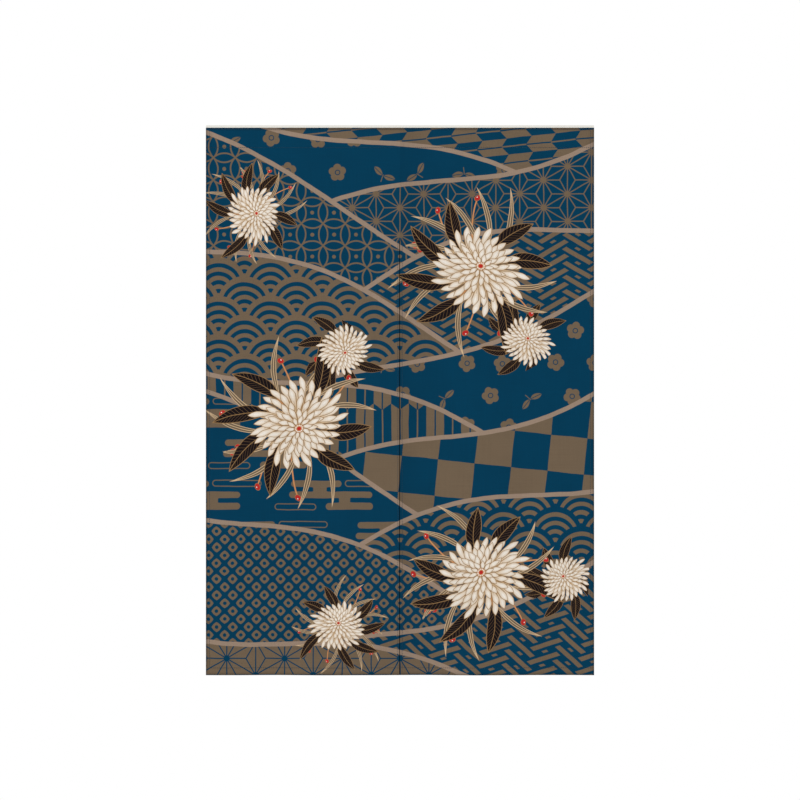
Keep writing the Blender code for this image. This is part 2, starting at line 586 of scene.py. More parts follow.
def arrow_feathers(g, x, y):
    """Arrow feathers: columns cut by notches, two inks in turn, with a shaft line in each."""
    half = g["Column"] * 0.5
    over = abs(wrapped(x, half))
    column = floor(x / g["Column"] + 0.5)
    row = floor((y - over * g["Notch"] / half) / g["Length"])
    return abs(maths("PINGPONG", column + row, 1.0) - inked(over, g["Shaft"] * 0.5))


def checks(g, x, y):
    """Plain checks."""
    return wrapped(x, g["Side"]) * wrapped(y, g["Side"]) > 0.0


def spotted_diamonds(g, x, y):
    """Fawn spots: rounded diamonds with a dot left out of each."""
    half = g["Pitch"] * 0.5
    rising, falling = wrapped(x + y, half), wrapped(x - y, half)
    square = greatest(abs(rising), abs(falling))
    circle = far(rising, falling) * math.sqrt(0.5)
    rim_distance = square * 0.55 + circle * 0.5
    return inked(rim_distance, g["Size"]) * (1.0 - inked(circle, g["Dot"]))


def wicker_fret(g, x, y):
    """A fret of plaited bars at 30 degrees, each over two and under two."""
    square_on = math.sin(math.pi / 3)
    along = x * math.tan(math.pi / 6)
    aways, counts = [], []
    for slant in (along + y, along - y):
        aways.append(abs(wrapped(slant, g["Pitch"] * 0.5)) * square_on)
        counts.append(floor(slant / g["Pitch"] + 0.5))
    over = wrapped(counts[0] + counts[1] + 0.5, 2.0) > 0.0
    top, under = blend("FLOAT", over, *aways), blend("FLOAT", over, *reversed(aways))
    half = g["Bar"] * 0.5
    return greatest(inked(top, half), inked(under, half) * (1.0 - inked(top, half + g["Gap"])))


# Bars of mist in one cell: the middle across and up, half the straight length, and the radius
SOLID_BARS = [
    (-6.0, 0.0, 84.0, 7.0),
    (-38.0, 24.0, 48.0, 7.0),
    (34.0, -25.0, 44.0, 7.5),
    (-30.0, 12.0, 9.0, 5.0),
    (24.0, -12.0, 7.0, 5.0),
]
THIN_BARS = [(78.0, 25.0, 46.0, 6.5), (-84.0, -26.0, 38.0, 6.5)]


def mist_bars(g, x, y):
    """Drifts of mist: bars with round ends, linked by necks, and two thin outlined bars. The cells
    are set as bricks are."""
    shift = floor(y / g["High"] + 0.5) * g["Wide"] * 0.5
    x, y = wrapped(x + shift, g["Wide"] * 0.5), wrapped(y, g["High"] * 0.5)
    solid, thin = (
        [far(greatest(abs(x - across) - half, 0.0), y - up) - radius for across, up, half, radius in bars]
        for bars in (SOLID_BARS, THIN_BARS)
    )
    melted = reduce(lambda first, second: maths("SMOOTH_MIN", first, second, g["Melt"]), solid)
    return greatest(inked(melted), inked(abs(least(*thin)), g["Outline"]))


def linked_rings(g, x, y):
    """Linked rings: each circle overlaps four others, with a dot in the middle."""
    pitch = g["Radius"] * math.sqrt(2)
    over, up = abs(wrapped(x, pitch * 0.5)), abs(wrapped(y, pitch * 0.5))
    aways = [abs(far(a, b) - g["Radius"]) for a, b in ((over, up), (over - pitch, up), (over, up - pitch))]
    return greatest(inked(least(*aways), g["Line"] * 0.5), inked(far(over, up), g["Dot"]))


def scattered_plum(g, x, y):
    """Plum blossoms and leaf pairs, strewn at different turns on a plain ground."""
    row = floor(y / g["High"])
    slid = x / g["Wide"] + row * 0.5
    cell = floor(slid)
    seed = cell * 3.17 + row * 11.3
    first, second = chance(seed), chance(seed + 0.5)
    over = (slid - cell - 0.5) * g["Wide"] + (first - 0.5) * 24.0
    up = wrapped(y - g["High"] * 0.5, g["High"] * 0.5) + (second - 0.5) * 14.0
    sprig = turned(point_at(over, up), first * (2 * math.pi))
    angle, radius = polar(sprig)
    petals = inked(from_dots(angle, radius, 5, g["Petal"] * 1.22), g["Petal"])
    blossom = greatest(petals, inked(radius, 5.0)) * (1.0 - inked(abs(radius - 5.0), 0.9))
    u, v = across_and_up(sprig)
    outward = abs(u) - 14.0
    off_rib = abs(v - abs(u) * 0.25)
    leaf = off_rib - 6.4 + outward * outward * 0.037
    stalk = inked(greatest(abs(u + v * 0.2) - 0.9, v - 2.0, -14.0 - v))
    leaves = greatest(inked(leaf * 0.8) * (1.0 - inked(off_rib, 0.7)), stalk)
    return blend("FLOAT", second > 0.52, blossom, leaves)


REPEATS = {
    "hemp": (hemp_leaf, {"Side": 60.5, "Line": 2.5, "Hub": 6.8}),
    "waves": (
        wave_scales,
        {"Pitch": 113.4, "Row": 42.0, "Reach": 58.8, "Rim": 8.4, "Ring": 6.2, "Climb": 0.5},
    ),
    "feathers": (arrow_feathers, {"Column": 38.4, "Length": 104.0, "Notch": 14.0, "Shaft": 3.0}),
    "checks": (checks, {"Side": 80.0}),
    "spots": (spotted_diamonds, {"Pitch": 34.9, "Size": 11.4, "Dot": 3.9}),
    "fret": (wicker_fret, {"Pitch": 31.0, "Bar": 9.6, "Gap": 6.0}),
    "mist": (mist_bars, {"Wide": 290.0, "High": 90.0, "Melt": 9.0, "Outline": 1.1}),
    "rings": (linked_rings, {"Radius": 34.0, "Line": 3.4, "Dot": 4.2}),
    "plum": (scattered_plum, {"Wide": 94.0, "High": 70.0, "Petal": 8.6}),
}


def repeat_group(draw, sizes):
    """The node group of a repeat, named after its drawing."""
    name = draw.__name__.replace("_", " ").capitalize()
    g = Group(name, {"Point": ORIGIN, **sizes}, {"Figure": 0.0})
    return g.give(Figure=draw(g, *across_and_up(g["Point"])))


# Blossom sprays, in local millimetres around the large bloom's middle. First the inputs that their
# groups share
TURNED_RING = {"Turn": 0.0, "Twist": 0.0}
ROUND_PLACE = {"Angle": 0.0, "Radius": 0.0, "Under": CREAM}


def ring_slice(g, angle, radius, slices):
    """Where a place lies in a ring that is cut into even slices: the slice's number, how far off its
    middle line the place is, as a share of the slice, and how wide the slice is there."""
    sector = (2 * math.pi) / slices
    count = (angle + g["Turn"] + radius * g["Twist"]) / sector
    number = floor(count)
    return number, count - number - 0.5, sector * radius


def petal_ring_group():
    """One ring of long petals, painted over what is under it."""
    inputs = {
        "Point": ORIGIN, "Under": CREAM, **TURNED_RING,
        "Petals": 15.0, "Reach": 90.0, "Root": 20.0, "Width": 10.0, "Rise": 0.0, "Luck": 0.2,
        "Root Color": PEACH, "Tip Color": CREAM, "Outline Color": OLD_GOLD,
    }
    g = Group("Petal ring", inputs, {"Color": CREAM})
    x, y = across_and_up(g["Point"])
    rise = y - g["Rise"]
    radius = far(x, rise)
    petal, off, arc = ring_slice(g, maths("ARCTAN2", rise, x), radius, g["Petals"])
    luck = chance(petal * 1.37 + g["Reach"])
    across = (off + (luck - 0.5) * 0.10) * arc
    point = g["Width"] * 2.3
    tip = g["Reach"] * (1.0 - luck * g["Luck"]) - point
    along = maths("DIVIDE", radius - g["Root"], tip - g["Root"], clamp=True)
    half = g["Width"] * (along * 0.55 + 0.45)
    past = greatest(radius - tip, 0.0) / point
    inside = half * (1.0 - past * past) - abs(across)
    outline = inked(least(inside, (0.5 - abs(off)) * arc), 1.35)
    middle = inked(abs(across), 0.42) * (along < 0.35 + luck * 0.5)
    fill = dyed(along * (1.1 - luck * 0.25), g["Root Color"], g["Tip Color"])
    fill = dyed(fading(inside, half * 0.9) * 0.7, fill, g["Root Color"])
    petal_colour = dyed(greatest(outline, middle * 0.7), fill, g["Outline Color"])
    return g.give(Color=dyed(inked(0.0 - inside), g["Under"], petal_colour))


def leaf_ring_group():
    """Pointed leaves that spread from behind a bloom, some left out by chance."""
    inputs = {
        **ROUND_PLACE, **TURNED_RING,
        "Leaves": 10.0, "Reach": 192.0, "Root": 62.0, "Width": 19.0, "Left Out": 0.35, "Veins": 9.0,
        "Leaf Color": BLACK, "Line Color": OLD_GOLD,
    }
    g = Group("Leaf ring", inputs, {"Color": CREAM})
    radius = g["Radius"]
    leaf, off, arc = ring_slice(g, g["Angle"], radius, g["Leaves"])
    luck = chance(leaf * 2.71 + g["Reach"])
    reach = g["Reach"] * (0.84 + luck * 0.2)
    across = abs(off) * arc
    along = (radius - g["Root"]) / (reach - g["Root"])
    inside = along * (1.0 - along) * g["Width"] * 4.0 - across
    there = chance(leaf * 5.3 + g["Root"]) > g["Left Out"]
    vein = abs(wrapped(radius - across * 1.15, g["Veins"] * 0.5))
    lines = greatest(inked(inside, 1.5), inked(across, 0.8), inked(vein, 0.32) * 0.7)
    colour = dyed(lines, g["Leaf Color"], g["Line Color"])
    return g.give(Color=dyed(inked(0.0 - inside) * there, g["Under"], colour))


def berry_ring_group():
    """Berries on thin stems, around a bloom."""
    inputs = {
        **ROUND_PLACE, **TURNED_RING,
        "Stems": 11.0, "Reach": 140.0, "Size": 7.4, "Left Out": 0.3,
        "Berry Color": RED, "Stem Color": ORANGE, "Outline Color": OLD_GOLD,
    }
    g = Group("Berry ring", inputs, {"Color": CREAM})
    stem, off, arc = ring_slice(g, g["Angle"], g["Radius"], g["Stems"])
    luck = chance(stem * 3.9 + g["Reach"])
    across = off * arc
    outward = g["Radius"] - g["Reach"] * (0.8 + luck * 0.22)
    there = chance(stem * 7.1 + g["Size"]) > g["Left Out"]
    stalk = inked(greatest(abs(across) - 1.6, outward)) * there
    ball = far(across, outward)
    gleam = inked(far(across - 1.8, outward - 1.8), 1.3)
    inner = dyed(gleam, g["Berry Color"], CREAM)
    berry = dyed(inked(g["Size"] - ball, 1.0), inner, g["Outline Color"])
    under = dyed(stalk, g["Under"], g["Stem Color"])
    return g.give(Color=dyed(inked(ball, g["Size"]) * there, under, berry))


def bloom_heart_group():
    """The middle of a bloom: an orange disc with a red middle and a ring of pollen dots."""
    g = Group("Bloom heart", {**ROUND_PLACE, "Size": 11.0, "Dots": 11.0}, {"Color": CREAM})
    radius, size = g["Radius"], g["Size"]
    dot = inked(from_dots(g["Angle"], radius, g["Dots"], size * 0.72), size * 0.15)
    disc = dyed(inked(radius, size * 0.42), ORANGE, RED)
    disc = dyed(dot, disc, CREAM)
    disc = dyed(inked(abs(radius - size), 0.9), disc, OLD_GOLD)
    return g.give(Color=dyed(inked(radius, size), g["Under"], disc))


LARGE_BLOOM = 122.0  # millimetres from its middle to its outer tips
TIP_OUTLINE = 2.0
SMALL_BLOOM_AT = (158.0, -112.0, 0.0)
SMALL_BLOOM_SCALE = 0.56
BLOOM_TILT = (1.0, 1.14, 1.0)  # a bloom seen a little from below
# Each ring of petals, the outermost first
PETAL_SIZES = ("Petals", "Turn", "Twist", "Reach", "Root", "Width", "Rise")
PETAL_RINGS = [
    (27, 0.00, 0.0030, 122, 52, 8.2, 0),
    (23, 0.31, 0.0016, 100, 42, 8.2, 3),
    (19, 0.12, -0.002, 77, 30, 7.8, 7),
    (15, 0.40, 0.0040, 55, 18, 7.4, 11),
    (10, 0.20, -0.006, 36, 9, 7.2, 14),
]
HEART_RISE = (0.0, 16.0, 0.0)


def spray_group():
    """A spray: a large and a small bloom over leaves, grass and berries. Alone is 1 without the
    small one."""
    g = Group("Blossom spray", {"Point": ORIGIN, "Alone": 0.0, "Under": CREAM}, {"Color": CREAM})
    petals, leaves = petal_ring_group(), leaf_ring_group()
    berries, heart = berry_ring_group(), bloom_heart_group()
    small = vectors("SUBTRACT", g["Point"], SMALL_BLOOM_AT)
    small = vectors("SCALE", small, 1 / SMALL_BLOOM_SCALE)
    small = vectors("ADD", small, point_at(g["Alone"] * OUT_OF_REACH, 0.0))
    in_small = vectors("LENGTH", small) < LARGE_BLOOM + TIP_OUTLINE
    colour = g["Under"]

    def paint(group, point, **sizes):
        angle, radius = polar(point)
        return use(g.tree, group, Angle=angle, Radius=radius, Under=colour, **sizes)["Color"]

    colour = paint(leaves, small, Leaves=9.0, Turn=0.4, Twist=0.0028, Reach=190.0, Root=60.0, Width=22.0)
    colour = paint(berries, g["Point"], Turn=0.3, Twist=0.002, Reach=168.0)
    colour = paint(
        leaves, g["Point"], Leaves=15.0, Turn=0.1, Twist=-0.0030, Reach=206.0, Root=60.0, Width=6.4,
        Left_Out=0.42, Veins=400.0, Leaf_Color=TAUPE, Line_Color=PEACH,
    )
    colour = paint(leaves, g["Point"], Turn=0.7, Twist=0.0026)
    bloom = blend("VECTOR", in_small, g["Point"], small)
    bloom = vectors("MULTIPLY", bloom, BLOOM_TILT)
    for ring in PETAL_RINGS:
        sizes = dict(zip(PETAL_SIZES, ring))
        colour = use(g.tree, petals, Point=bloom, Under=colour, **sizes)["Color"]
    return g.give(Color=paint(heart, vectors("SUBTRACT", bloom, HEART_RISE)))


# The whole print. Bands run across the cloth in slow curves, each over the one above, and a line of
# rose tan follows each upper edge
BAND_LINE = 4.9  # half the width of that line
EDGE_SIZES = ("Height", "Slope", "Swing", "Length", "Phase")


def band_edge_group():
    """How far above a band's upper edge a point is. The edge is a straight line with a swing."""
    inputs = {"Point": ORIGIN, "Height": 0.0, "Slope": 0.0, "Swing": 50.0, "Length": 900.0, "Phase": 0.0}
    g = Group("Band edge", inputs, {"Distance": 0.0})
    x, y = across_and_up(g["Point"])
    rate = (2 * math.pi) / g["Length"]
    turn = x * rate + g["Phase"]
    edge = g["Height"] + g["Slope"] * x + g["Swing"] * sine(turn)
    steep = g["Slope"] + g["Swing"] * rate * cosine(turn)
    return g.give(Distance=(y - edge) / maths("SQRT", steep * steep + 1.0))


# Each band from the top: its upper edge, its repeat, whether the two inks change places, the
# repeat's turn in degrees, and its sizes where they differ from the repeat's own
BANDS = [
    {"repeat": "feathers", "turn": 84.0, "sizes": {"Length": 54.0, "Column": 36.0}},
    {"edge": (-60, -0.34, 46, 1000, 0.4), "repeat": "plum"},
    {"edge": (-158, 0.36, 44, 960, 2.5), "repeat": "hemp"},
    {"edge": (-236, -0.40, -50, 1100, 0.7), "repeat": "rings"},
    {"edge": (-350, 0.34, 56, 940, 0.8), "repeat": "fret"},
    {"edge": (-432, -0.36, 52, 1000, 2.7), "repeat": "waves"},
    {"edge": (-520, 0.42, -44, 1060, 0.1), "repeat": "plum"},
    {"edge": (-640, -0.34, 50, 980, 1.4), "repeat": "feathers"},
    {"edge": (-722, 0.40, 46, 930, 2.5), "repeat": "checks", "turn": 6.0},
    {"edge": (-806, -0.42, -48, 1080, 0.5), "repeat": "mist"},
    {"edge": (-918, 0.36, 50, 960, 1.2), "repeat": "waves", "inverse": True},
    {"edge": (-1000, -0.38, 46, 940, 2.2), "repeat": "spots"},
    {"edge": (-1096, 0.34, -42, 1020, 0.4), "repeat": "fret", "turn": 12.0},
    {"edge": (-1190, -0.22, 36, 900, 1.7), "repeat": "hemp", "inverse": True, "sizes": {"Side": 73.0}},
]
SPRAYS = [
    {"at": (172, -322), "turn": 20, "size": 0.96},
    {"at": (-226, -652), "turn": 158, "size": 0.98, "mirrored": True},
    {"at": (184, -990), "turn": -34, "size": 0.92},
    {"at": (-322, -196), "turn": 75, "size": 0.60, "alone": True},
    {"at": (-136, -1098), "turn": 10, "size": 0.56, "alone": True, "mirrored": True},
]
SPRAY_REACH = 250.0
WOBBLE = 3.0  # a drawn line strays by up to half of this, as one cut by hand does
WOBBLE_SCALE = 0.018


def print_group():
    """The whole print on flat cloth, in millimetres from the middle of the heading's top edge."""
    g = Group("Noren print", {"Point": ORIGIN}, {"Color": NAVY, "Figure": 0.0})
    made = {name: repeat_group(*repeat) for name, repeat in REPEATS.items()}
    edge_group, spray = band_edge_group(), spray_group()
    wobble = vectors("SUBTRACT", cloudy(g["Point"], WOBBLE_SCALE, output="Color"), (0.5, 0.5, 0.5))
    drawn = vectors("ADD", g["Point"], vectors("SCALE", wobble, WOBBLE))
    figure, line = None, None
    for band in BANDS:
        at = turned(drawn, math.radians(band["turn"])) if "turn" in band else drawn
        mask = use(g.tree, made[band["repeat"]], Point=at, **band.get("sizes", {}))["Figure"]
        if band.get("inverse"):
            mask = 1.0 - mask
        if figure is None:
            figure = mask
            continue
        edge = dict(zip(EDGE_SIZES, band["edge"]))
        above = use(g.tree, edge_group, Point=drawn, **edge)["Distance"]
        below = inked(above)
        figure = blend("FLOAT", below, figure, mask)
        edge_line = inked(abs(above), BAND_LINE)
        line = edge_line if line is None else greatest(line * (1.0 - below), edge_line)
    colour = dyed(figure, NAVY, TAUPE)
    colour = dyed(line, colour, ROSE_TAN)
    local, alone = vectors("ADD", drawn, (OUT_OF_REACH, 0.0, 0.0)), 0.0
    for place in SPRAYS:
        spot = vectors("SUBTRACT", drawn, (*place["at"], 0))
        spot = turned(spot, math.radians(place["turn"]))
        side = -1 if place.get("mirrored") else 1
        spot = vectors("MULTIPLY", spot, (side / place["size"], 1 / place["size"], 1))
        near = vectors("LENGTH", spot) < SPRAY_REACH
        local = blend("VECTOR", near, local, spot)
        alone = blend("FLOAT", near, alone, 1.0 if place.get("alone") else 0.0)
    colour = use(g.tree, spray, Point=local, Alone=alone, Under=colour)["Color"]
    return g.give(Color=colour, Figure=figure)


# Cloth and thread
MEAN_SINE = 2 / math.pi  # what a sine's size is on average


def plain_weave_group():
    """Plain weave: threads over and under each other, thicker and thinner along their run. Its Tone is
    the slubs' own tone, with painted light and shade on the crowns and dips of the threads.
    """
    inputs = {"Point": ORIGIN, "Thread": 0.82, "Slub": 0.45, "Relief Shade": 0.5}
    g = Group("Plain weave", inputs, {"Height": 0.0, "Tone": 0.0})
    warp_slub = cloudy(vectors("MULTIPLY", g["Point"], (0.9, 0.012, 1.0)), 1.0, 3.0)
    weft_slub = cloudy(vectors("MULTIPLY", g["Point"], (0.010, 0.8, 1.0)), 1.0, 3.0)
    x, y = across_and_up(g["Point"])
    rate = math.pi / g["Thread"]
    warp, weft = sine(x * rate), sine(y * rate)
    top = blend("FLOAT", warp * weft > 0.0, abs(warp), abs(weft))
    slub = (warp_slub + weft_slub - 1.0) * g["Slub"]
    # The top thread's part of Tone is painted light and shade of the weave's relief
    return g.give(Height=top + slub, Tone=slub + (top - MEAN_SINE) * g["Relief Shade"])


def edge_shade_and_seams_group():
    """How near a point on the flat cloth is to an edge, and to a line of hem stitches. The edges get
    painted shade, the slit's lips a thin painted shadow line, and the right tail, which hangs behind,
    a soft painted shadow near the slit."""
    inputs = {
        "Point": ORIGIN, "Rim": 9.0, "Rim Shade Strength": 0.62, "Slit Shadow Width": 1.6, "Slit Shadow Strength": 1.0,
        "Behind": 110.0, "Behind Shadow Strength": 0.095, "Groove": 1.2,
    }
    g = Group("Hem lines", inputs, {"Shade": 0.0, "Groove Depth": 0.0})
    x, y = across_and_up(g["Point"])
    over, down = abs(x), y * -1.0
    off_slit = (down < SLIT_START * MM) * OUT_OF_REACH

    def nearest(*lines):
        return least(*(abs(place - line * MM) for place, line in lines))

    # Painted shade along the sides, the foot and under the heading: darker towards each edge
    rim = fading(nearest((over, SIDE), (down, DROP), (down, HEADING_SHOWS)), g["Rim"])
    # A thin painted shadow line where the slit's lips meet
    slit = fading(abs(x + SLIT_SHIFT * MM) + off_slit, g["Slit Shadow Width"])
    # A soft painted shadow on the right tail beside the slit, as if cast by the left lip
    behind = fading(x, g["Behind"]) * (x > 0.0)
    shade = greatest(rim * rim * g["Rim Shade Strength"], slit * g["Slit Shadow Strength"])
    shade = shade + behind * behind * g["Behind Shadow Strength"]
    upright = (over, SIDE_SEAM), (over + off_slit, LIP_SEAM)
    level = ((down, seam) for seam in (FOOT_SEAM, TOP_SEAM, SLEEVE_SEAM))
    return g.give(Shade=shade, Groove_Depth=fading(nearest(*upright, *level), g["Groove"]))


def material_with_nodes(name):
    """An empty node material, and its tree."""
    material = bpy.data.materials.new(name)
    material.use_nodes = True
    material.node_tree.nodes.clear()
    return material, material.node_tree


def finish_material(tree, colour, roughness, height, bump_distance, sheen):
    """The shader at the end of a material."""
    normal = worked(tree, "ShaderNodeBump", Strength=0.55, Distance=bump_distance, Height=height)
    surface = worked(
        tree, "ShaderNodeBsdfPrincipled", Base_Color=colour, Roughness=roughness,
        Specular_IOR_Level=0.03, Sheen_Weight=sheen, Sheen_Roughness=0.6, Normal=normal,
    )
    placed(tree, "ShaderNodeOutputMaterial", Surface=surface)
    lay_out(tree)


def flat_point(tree):
    """The point on the flat cloth in millimetres, from the piece's own UV map."""
    return vectors("SCALE", worked(tree, "ShaderNodeUVMap", {"uv_map": "Print"}), MM)


def object_point(tree, scale):
    """The point on the piece, in metres times scale."""
    node = placed(tree, "ShaderNodeTexCoord")
    return vectors("SCALE", Term(node.outputs["Object"]), scale)


def toned(colour, tone):
    """A colour made lighter or darker by tone, which is near 1."""
    return worked(colour.tree, "ShaderNodeHueSaturation", Color=colour, Value=tone)


def uneven(patches, weave, middle, patchiness, relief):
    """How light cloth is: a middle tone, with soft patches and the light and shade of its weave."""
    return middle + (patches - 0.5) * patchiness + weave["Tone"] * relief


def printed_cotton(name, show_through, shared):
    """The printed side of the cloth, or with show_through under 1, its paler wrong side."""
    material, tree = material_with_nodes(name)
    point = flat_point(tree)
    drawing = use(tree, shared["print"], Point=point)
    weave = use(tree, shared["weave"], Point=point)
    colour = drawing["Color"]
    if show_through < 1.0:
        faded = uneven(cloudy(point, 0.06, 3.0), weave, 1.0 - show_through, patchiness=0.24, relief=0.6)
        colour = dyed(faded, colour, RAW_COTTON)
    hems = use(tree, shared["hems"], Point=point)
    tone = uneven(cloudy(point, 0.011, 4.0), weave, middle=0.85, patchiness=0.14, relief=0.34)
    # Painted shade from the edges, the slit and the left lip darkens the print, and the stitch grooves get
    # painted shade as well as their bump
    tone = tone * (1.0 - hems["Shade"]) - hems["Groove Depth"] * 0.05
    roughness = 0.80 + weave["Tone"] * 0.2 - drawing["Figure"] * 0.05
    height = weave["Height"] * 0.30 - hems["Groove Depth"] * 1.6
    finish_material(tree, toned(colour, tone), roughness, height, bump_distance=0.0006, sheen=0.02)
    return material


def heading_cotton(name, shared):
    """Plain white cotton with a coarser thread."""
    material, tree = material_with_nodes(name)
    point = flat_point(tree)
    weave = use(tree, shared["weave"], Point=point, Thread=1.1, Slub=0.5)
    patches = cloudy(point, 0.03, 4.0)
    tone = uneven(patches, weave, middle=0.98, patchiness=0.10, relief=0.16)
    colour = toned(dyed(patches, RAW_COTTON, RAW_SHADE), tone)
    roughness = 0.84 + weave["Tone"] * 0.2
    finish_material(tree, colour, roughness, weave["Height"] * 0.2, bump_distance=0.0007, sheen=0.08)
    return material


def thread(name, colour):
    """Sewing thread: two plies that wind round each other, with painted light and shade along their twist
    and a tone that changes at random along its run.
    """
    material, tree = material_with_nodes(name)
    x, _, z = parts(object_point(tree, MM))
    ply = sine((x + z) * 9.0)
    # Painted light and shade along the plies, and a random tone from step to step
    tone = 1.0 + ply * 0.12 + (chance(floor(z * 0.2)) - 0.5) * 0.12
    rgb = placed(tree, "ShaderNodeRGB").outputs[0]
    rgb.default_value = colour
    colour = toned(Term(rgb), tone)
    finish_material(tree, colour, 0.62 + ply * 0.06, ply, bump_distance=0.0001, sheen=0.1)
    return material


# Pieces


def build_cloth(materials):
    """The one-piece printed cloth: a yoke above the slit and two tails below it."""
    columns, rows = cloth_columns(), cloth_rows()
    slit_column = len(columns) // 2 - 1
    slit_row = next(j for j, (z, _) in enumerate(rows) if z <= -SLIT_START + NEARLY_NONE)

    def spot(column, row):
        x, share, at_lip = column
        z, row_share = row
        below_slit = z < -SLIT_START - NEARLY_NONE
        if at_lip and not below_slit:
            share = 1.0
        share *= row_share
        near_lip = max(0.0, 1.0 - (abs(x) - LIP_GAP / 2) / LIP_HEM) if below_slit else 0.0
        tuck = LIP_TUCK / 2 * near_lip
        thick = thickness(x, z)
        middle = cloth_front(x, z) + thick / 2
        half = share * thick / 2
        x -= tuck + SLIT_SHIFT * near_lip
        return (x + tuck * share, middle - half, z), (x - tuck * share, middle + half, z)

    piece, told = sheet(
        "printed_cloth_sheet", columns, rows, spot,
        lambda i, j: not (i == slit_column and j >= slit_row), materials,
    )
    mesh = piece.data
    flat = mesh.uv_layers.new(name="Print")
    baked = mesh.uv_layers.new(name="OFBake")
    bottom, high = BAKED_UPRIGHT
    for face, (kind, i, j) in zip(mesh.polygons, told):
        wrong = kind == "wrong"
        middle = (columns[i][0] + columns[i + 1][0]) / 2, (rows[j][0] + rows[j + 1][0]) / 2
        at_side, at_foot, at_slit = hems_at(*middle)
        face.material_index = 1 if wrong and not (at_side or at_foot or at_slit) else 0
        left, wide = BAKED_WRONG if wrong else BAKED_FACE
        for loop in face.loop_indices:
            x, _, z = mesh.vertices[mesh.loops[loop].vertex_index].co
            across, up = (x + SIDE) / CLOTH_WIDTH, (z + DROP) / DROP
            baked.uv[loop].vector = (left + wide * across, bottom + high * up)
            if wrong and at_foot:
                z = -2 * DROP - z
            if wrong and at_side:
                x = math.copysign(CLOTH_WIDTH, x) - x
            elif wrong and at_slit:
                x = -x
            flat.uv[loop].vector = (x, z)
    return piece


def sleeve_middle():
    """The sleeve's mid-line from its front foot, over the rod, to its back foot, as Y and Z."""
    radius = SLEEVE_RADIUS - SLEEVE_THICK / 2
    back_travel = 2 * (SLEEVE_RADIUS - SLEEVE_THICK)
    path = [(-radius, z) for z in stations(-SLEEVE_DROP, -SLEEVE_RADIUS, SLEEVE_ROW)[:-1]]
    for angle in evenly(math.pi, 0.0, ROD_STEPS):
        path.append((radius * math.cos(angle), -SLEEVE_RADIUS + radius * math.sin(angle)))
    for t in evenly(0.0, 1.0, BACK_STEPS)[1:]:
        fall = -SLEEVE_RADIUS - (SLEEVE_SEAM - SLEEVE_RADIUS) * t
        path.append((radius - back_travel * smooth(t), fall))
    foot = path[-1][0]
    return path + [(foot, z) for z in stations(-SLEEVE_SEAM, -SLEEVE_DROP, SLEEVE_ROW)[1:]]


def build_sleeve(material):
    """The heading sleeve: a flat band folded over the rod and sewn shut below it."""
    path = sleeve_middle()
    last = len(path) - 1
    lengths = [0.0]
    for before, after in zip(path, path[1:]):
        lengths.append(lengths[-1] + math.dist(before, after))
    half_thick = SLEEVE_THICK / 2 - SLEEVE_TRIM
    ends = [(-SIDE + inset, share) for inset, share in reversed(rim(half_thick))]
    body = stations(-SIDE + SLEEVE_END, SIDE - SLEEVE_END, SLEEVE_COLUMN)
    columns = ends + [(x, 1.0) for x in body] + [(-x, share) for x, share in reversed(ends)]
    rows = [(k, min(1.0, RAW_EDGE + (1 - RAW_EDGE) * min(k, last - k))) for k in range(last + 1)]

    def spot(column, row):
        x, share = column
        k, row_share = row
        y, z = path[k]
        run = Vector(path[min(k + 1, last)]) - Vector(path[max(k - 1, 0)])
        outward = Vector((-run[1], run[0])).normalized()
        slack = smooth((-z - RIPPLE_STARTS) / RIPPLE_GROWS) * smooth((SLEEVE_SEAM + z) / RIPPLE_ENDS)
        ripple = RIPPLE_DEPTH * slack * noise.noise(Vector((x / RIPPLE_SIZE, RIPPLE_SEED, z / RIPPLE_SIZE)))
        middle = Vector((y, z))
        if y > BACK_LAYER:
            middle += outward * ripple
        half = half_thick * share * row_share
        return (x, *(middle + outward * half)), (x, *(middle - outward * half))

    piece, told = sheet("heading_sleeve_band", columns, rows, spot, lambda i, j: True, [material])
    mesh = piece.data
    flat = mesh.uv_layers.new(name="Print")
    for face, (_, _, j) in zip(mesh.polygons, told):
        for loop in face.loop_indices:
            x, y, z = mesh.vertices[mesh.loops[loop].vertex_index].co
            nearest = min((j, j + 1), key=lambda k: abs(y - path[k][0]) + abs(z - path[k][1]))
            flat.uv[loop].vector = (x, lengths[nearest])
    return piece


def stitch_tree(material):
    """Geometry nodes that lay stitches along the edges of a mesh, flat side facing Y."""
    tree = bpy.data.node_groups.new("Running stitches", "GeometryNodeTree")
    new_socket = tree.interface.new_socket
    new_socket(name="Lines", in_out="INPUT", socket_type="NodeSocketGeometry")
    for label, value in STITCH.items():
        new_socket(name=label, in_out="INPUT", socket_type="NodeSocketFloat").default_value = value
    new_socket(name="Stitches", in_out="OUTPUT", socket_type="NodeSocketGeometry")
    given = {out.name: Term(out) for out in placed(tree, "NodeGroupInput").outputs}
    step = partial(worked, tree)
    curve = step("GeometryNodeMeshToCurve", Mesh=given["Lines"])
    pitch = given["Stitch Length"] + given["Stitch Gap"]
    spaced = step("GeometryNodeResampleCurve", {"mode": "LENGTH"}, Curve=curve, Length=pitch)
    run = step("GeometryNodeInputTangent")
    axes = {"axis": "X", "pivot_axis": "Y"}
    turn = step("FunctionNodeAlignRotationToVector", axes, Vector=run)
    bead = step("GeometryNodeMeshUVSphere", Segments=6, Rings=4, Radius=0.5)
    length, high, wide = (given[label] for label in ("Stitch Length", "Thread Height", "Thread Width"))
    size = step("ShaderNodeCombineXYZ", X=length, Y=high, Z=wide)
    laid = step("GeometryNodeInstanceOnPoints", Points=spaced, Instance=bead, Rotation=turn, Scale=size)
    real = step("GeometryNodeRealizeInstances", Geometry=laid)
    shaded = step("GeometryNodeSetShadeSmooth", Geometry=real)
    finished = step("GeometryNodeSetMaterial", Geometry=shaded, Material=material)
    placed(tree, "NodeGroupOutput", Stitches=finished)
    lay_out(tree)
    return tree


